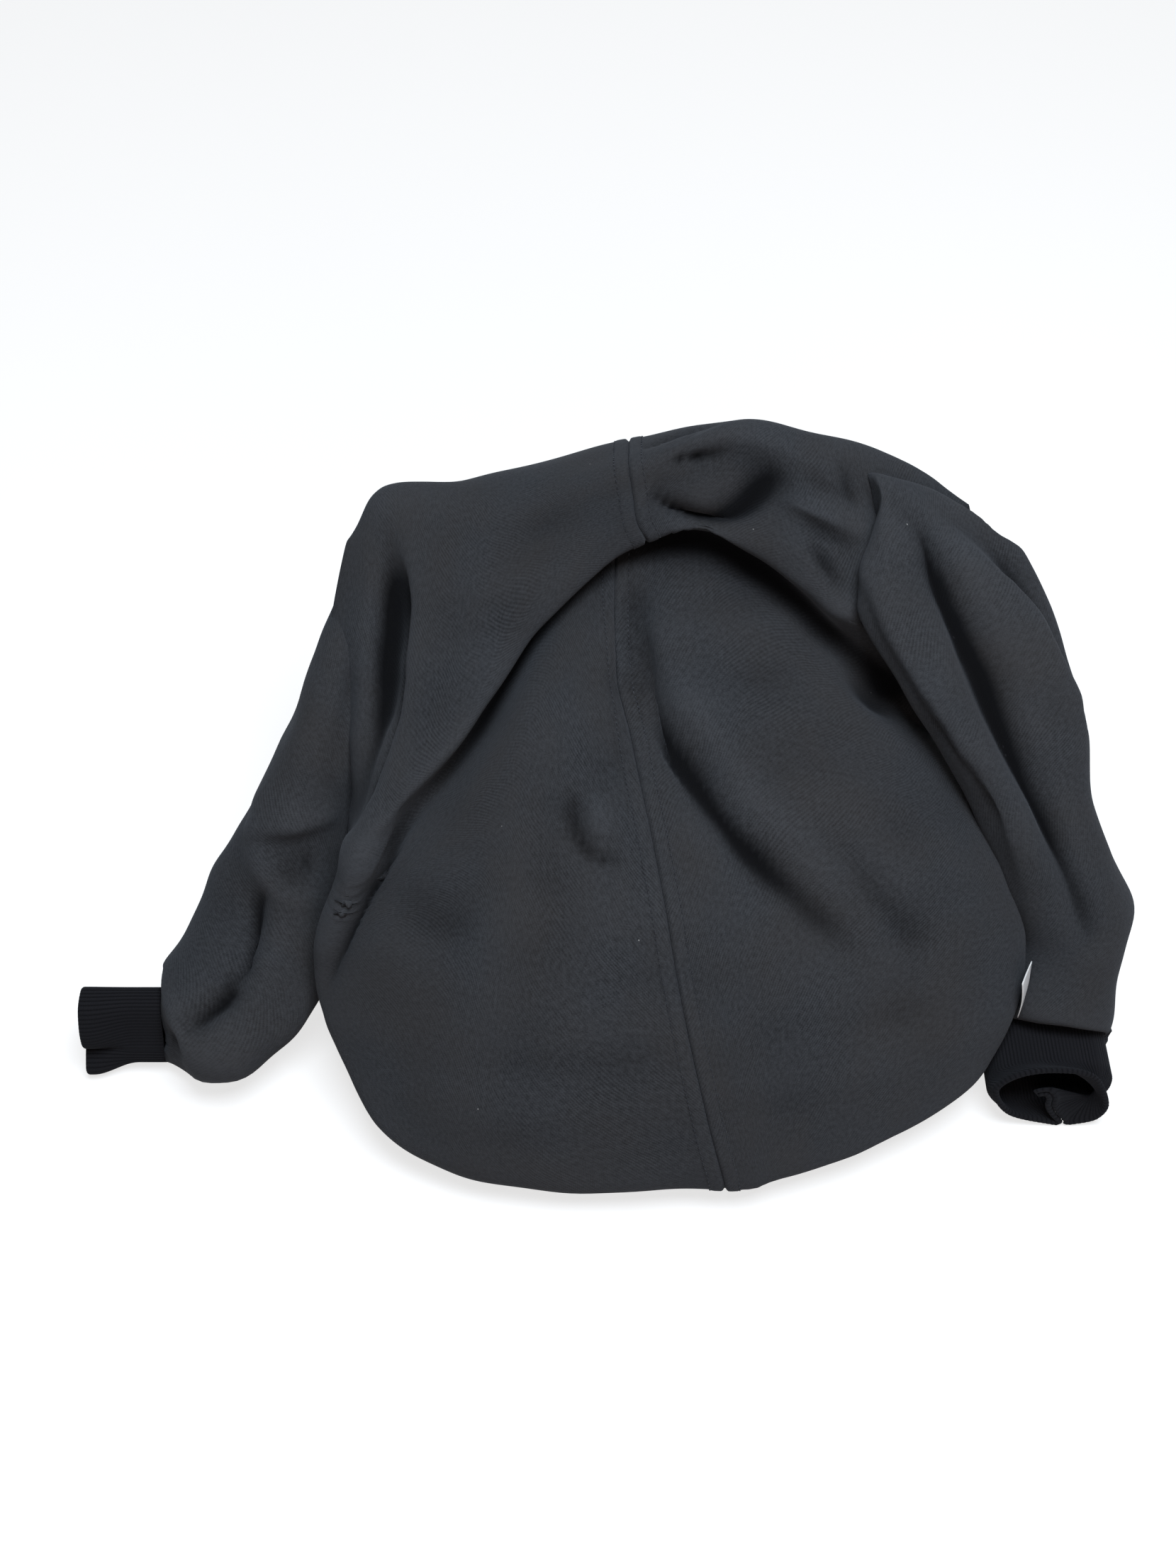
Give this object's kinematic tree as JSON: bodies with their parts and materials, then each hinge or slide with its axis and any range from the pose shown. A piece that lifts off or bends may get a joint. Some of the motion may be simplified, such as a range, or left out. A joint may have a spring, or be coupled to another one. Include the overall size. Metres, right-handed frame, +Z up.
{
  "type": "film changing bag",
  "caption": "Soft black jersey light-tight bag with a double zipped mouth at the rear and a rib-cuffed sleeve down each side, lying as a draped heap.",
  "frame": {"origin": "middle of the heap on the table, under the bag", "axes": "+X to the right seen from the front, across both sleeves; +Y from the front bulge towards the zipped mouth; +Z up"},
  "size_m": [0.4486, 0.3495, 0.21],
  "materials": {
    "outer_jersey": "matte brushed cotton jersey",
    "rib_knit": "matte rib knit",
    "elastic": "woven elastic band",
    "seam_tape": "matte woven tape",
    "label": "satin woven label, blank",
    "lining": "matte close woven nylon",
    "zip_tape": "woven tape",
    "zip_coil": "nylon coil",
    "zip_stops": "pressed metal",
    "slider": "black lacquered die casting",
    "pull": "black lacquered die casting"
  },
  "bodies": {
    "bag": {"base_panel": "outer_jersey", "left_half": "outer_jersey", "right_half": "outer_jersey", "centre_seam_tape": "seam_tape", "left_side_seam": "seam_tape", "right_side_seam": "seam_tape", "inner_bag_front": "lining", "inner_bag_back": "lining", "inner_bag_base": "lining", "care_label": "label", "mouth_hem": "outer_jersey", "mouth_end_tabs": "outer_jersey", "left_sleeve_root": "outer_jersey", "right_sleeve_root": "outer_jersey", "outer_tape_front": "zip_tape", "outer_tape_rear": "zip_tape", "outer_coil_front": "zip_coil", "outer_coil_rear": "zip_coil", "outer_zip_stops": "zip_stops", "inner_mouth_hem": "lining", "inner_tape_front": "zip_tape", "inner_tape_rear": "zip_tape", "inner_coil_front": "zip_coil", "inner_coil_rear": "zip_coil", "inner_zip_stops": "zip_stops"},
    "left_sleeve": {"left_sleeve": "outer_jersey", "left_sleeve_lining": "lining", "left_cuff": "rib_knit", "left_cuff_elastic": "elastic"},
    "right_sleeve": {"right_sleeve": "outer_jersey", "right_sleeve_lining": "lining", "right_cuff": "rib_knit", "right_cuff_elastic": "elastic"},
    "outer_slider": {"outer_slider": "slider"},
    "outer_pull": {"outer_pull": "pull"},
    "inner_slider": {"inner_slider": "slider"},
    "inner_pull": {"inner_pull": "pull"}
  },
  "joints": [
    {"name": "left_sleeve_lift", "type": "hinge", "parent": "bag", "child": "left_sleeve", "pos_m": [-0.12504, 0.00341, 0.11979], "axis": [-0.9231, 0.3846, 0], "range_deg": [0, 40]},
    {"name": "right_sleeve_lift", "type": "hinge", "parent": "bag", "child": "right_sleeve", "pos_m": [0.13911, 0.01239, 0.17922], "axis": [-0.8944, -0.4472, 0], "range_deg": [0, 40]},
    {"name": "outer_zip_slide", "type": "slide", "parent": "bag", "child": "outer_slider", "axis": [1, 0, 0], "range_m": [0, 0.1794]},
    {"name": "outer_pull_swing", "type": "hinge", "parent": "outer_slider", "child": "outer_pull", "pos_m": [-0.061, 0.1592, 0.0217], "axis": [0, -1, 0], "range_deg": [0, 170]},
    {"name": "inner_zip_slide", "type": "slide", "parent": "bag", "child": "inner_slider", "axis": [1, 0, 0], "range_m": [0, 0.1454]},
    {"name": "inner_pull_swing", "type": "hinge", "parent": "inner_slider", "child": "inner_pull", "pos_m": [-0.044, 0.1292, 0.0127], "axis": [0, -1, 0], "range_deg": [0, 170]}
  ]
}
